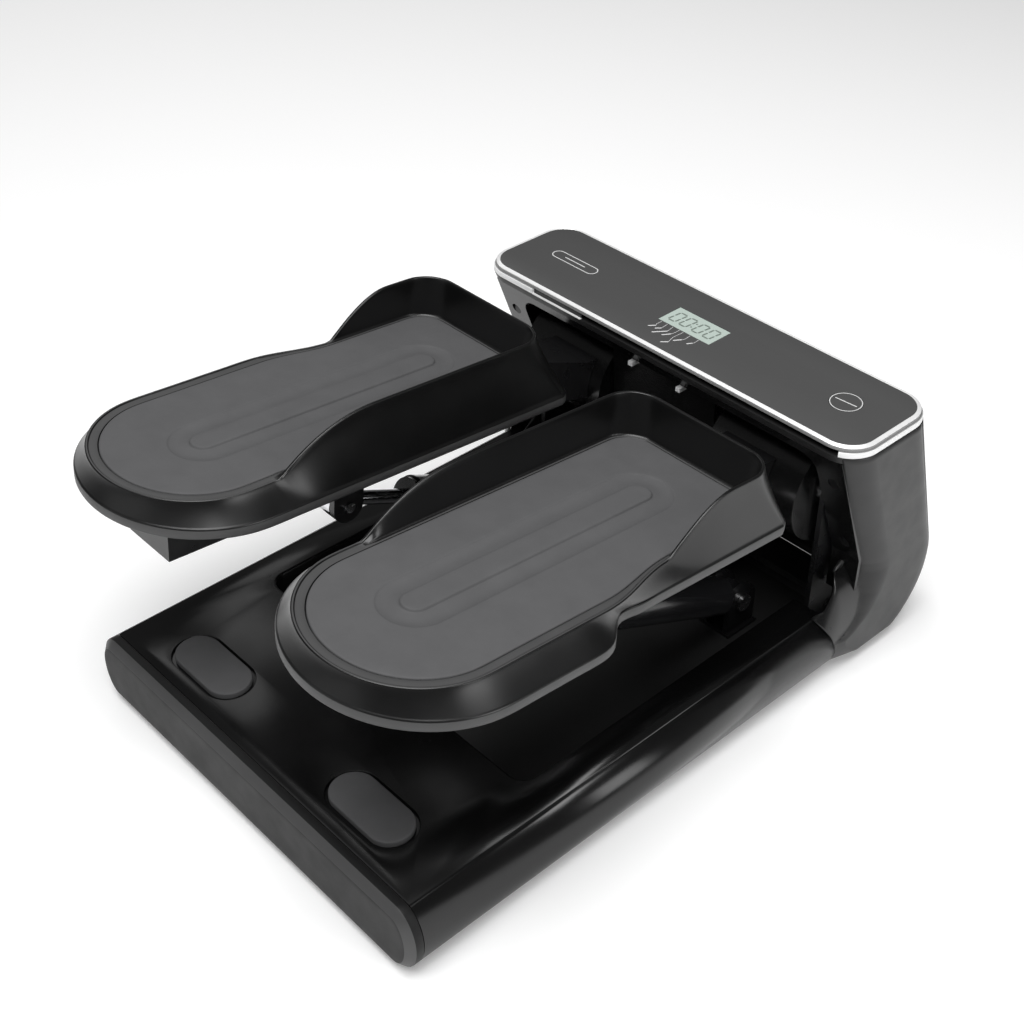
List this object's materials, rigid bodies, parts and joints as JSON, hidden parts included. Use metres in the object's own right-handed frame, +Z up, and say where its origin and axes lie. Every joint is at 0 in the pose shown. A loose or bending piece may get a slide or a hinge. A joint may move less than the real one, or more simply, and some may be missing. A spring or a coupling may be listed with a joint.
{
  "type": "under-desk stepper",
  "caption": "Low foot exerciser with tray pedals on swinging arms, hydraulic cylinders, a flat base and a front housing with a small display.",
  "frame": {"origin": "centre of the bounding box at the floor, under the rubber feet", "axes": "+X to the user's right, +Y from the user's end towards the display housing, +Z up"},
  "size_m": [0.3936, 0.5344, 0.2494],
  "materials": {
    "gloss_black": "gloss",
    "satin_black": "satin",
    "grey_rubber": "matte",
    "panel_glass_grey": "gloss",
    "display_glass": "gloss",
    "bright_trim": "gloss",
    "black_steel": "satin",
    "bright_steel": "satin",
    "chrome_rod": "polished",
    "cylinder_paint": "gloss",
    "rocker_metal": "matte",
    "bronze_bush": "satin",
    "circuit_green": "satin",
    "dark_plastic": "matte",
    "cell_wrap": "satin"
  },
  "bodies": {
    "stand": {"axle_bracket_left": "black_steel", "axle_bracket_right": "black_steel", "axle_collars": "bright_steel", "base_shell": "gloss_black", "batteries": "cell_wrap", "battery_box": "dark_plastic", "battery_lid": "dark_plastic", "bottom_tray": "satin_black", "button_board": "circuit_green", "centre_bracket": "bright_steel", "centre_cover": "gloss_black", "circuit_board": "circuit_green", "cylinder_bracket_left": "black_steel", "cylinder_bracket_right": "black_steel", "display_window": "display_glass", "floor_plate": "black_steel", "floor_screws": "bright_steel", "front_cover": "satin_black", "housing_shell": "satin_black", "lower_pin_left": "bright_steel", "lower_pin_right": "bright_steel", "panel_screws": "black_steel", "pivot_axle": "bright_steel", "rear_end_cap": "satin_black", "recess_panel": "gloss_black", "reed_sensor": "dark_plastic", "rocker_pin": "bright_steel", "rubber_feet": "grey_rubber", "stop_bumper_left": "grey_rubber", "stop_bumper_right": "grey_rubber", "top_panel": "panel_glass_grey", "trim_band": "bright_trim", "trim_ring": "bright_trim"},
    "arm_left": {"swing_arm_left": "black_steel", "pedal_tray_left": "gloss_black", "pedal_mat_left": "grey_rubber", "pedal_screws_left": "bright_steel", "hub_cover_left": "gloss_black", "hub_bushes_left": "bronze_bush", "ball_stud_left": "bright_steel", "upper_pin_left": "bright_steel", "step_magnet": "bright_steel"},
    "arm_right": {"swing_arm_right": "black_steel", "pedal_tray_right": "gloss_black", "pedal_mat_right": "grey_rubber", "pedal_screws_right": "bright_steel", "hub_cover_right": "gloss_black", "hub_bushes_right": "bronze_bush", "ball_stud_right": "bright_steel", "upper_pin_right": "bright_steel"},
    "cylinder_left": {"cylinder_barrel_left": "cylinder_paint", "gland_cap_left": "cylinder_paint"},
    "rod_left": {"piston_rod_left": "chrome_rod"},
    "cylinder_right": {"cylinder_barrel_right": "cylinder_paint", "gland_cap_right": "cylinder_paint"},
    "rod_right": {"piston_rod_right": "chrome_rod"},
    "rocker": {"balance_rocker": "rocker_metal"},
    "button": {"mode_button": "panel_glass_grey"}
  },
  "joints": [
    {"name": "arm_left_swing", "type": "hinge", "parent": "stand", "child": "arm_left", "pos_m": [0, 0.17225, 0.145], "axis": [1, 0, 0], "range_deg": [-15, 15]},
    {"name": "arm_right_swing", "type": "hinge", "parent": "stand", "child": "arm_right", "pos_m": [0, 0.17225, 0.145], "axis": [1, 0, 0], "range_deg": [-15, 15]},
    {"name": "cylinder_left_tilt", "type": "hinge", "parent": "stand", "child": "cylinder_left", "pos_m": [-0.089, 0.13325, 0.036], "axis": [1, 0, 0], "range_deg": [-14.4, 14.4]},
    {"name": "rod_left_slide", "type": "slide", "parent": "cylinder_left", "child": "rod_left", "axis": [0, -0.9021, 0.4315], "range_m": [-0.03, 0.03]},
    {"name": "cylinder_right_tilt", "type": "hinge", "parent": "stand", "child": "cylinder_right", "pos_m": [0.089, 0.13325, 0.036], "axis": [1, 0, 0], "range_deg": [-14.4, 14.4]},
    {"name": "rod_right_slide", "type": "slide", "parent": "cylinder_right", "child": "rod_right", "axis": [0, -0.9021, 0.4315], "range_m": [-0.03, 0.03]},
    {"name": "rocker_tilt", "type": "hinge", "parent": "stand", "child": "rocker", "pos_m": [0, 0.21225, 0.145], "axis": [0, 1, 0], "range_deg": [-6.2, 6.2]},
    {"name": "mode_button_press", "type": "slide", "parent": "stand", "child": "button", "axis": [0, 0, -1], "range_m": [0, 0.0012], "stiffness_N_per_m": 400, "springref_m": -0.001}
  ],
  "couplings": [
    {"joint": "arm_right_swing", "follows": "arm_left_swing", "ratio": -1},
    {"joint": "cylinder_left_tilt", "follows": "arm_left_swing", "ratio": 0.954},
    {"joint": "cylinder_right_tilt", "follows": "arm_left_swing", "ratio": -0.954},
    {"joint": "rod_left_slide", "follows": "arm_left_swing", "m_per_rad": -0.1142},
    {"joint": "rod_right_slide", "follows": "arm_left_swing", "m_per_rad": 0.1142},
    {"joint": "rocker_tilt", "follows": "arm_left_swing", "ratio": 0.4103}
  ]
}
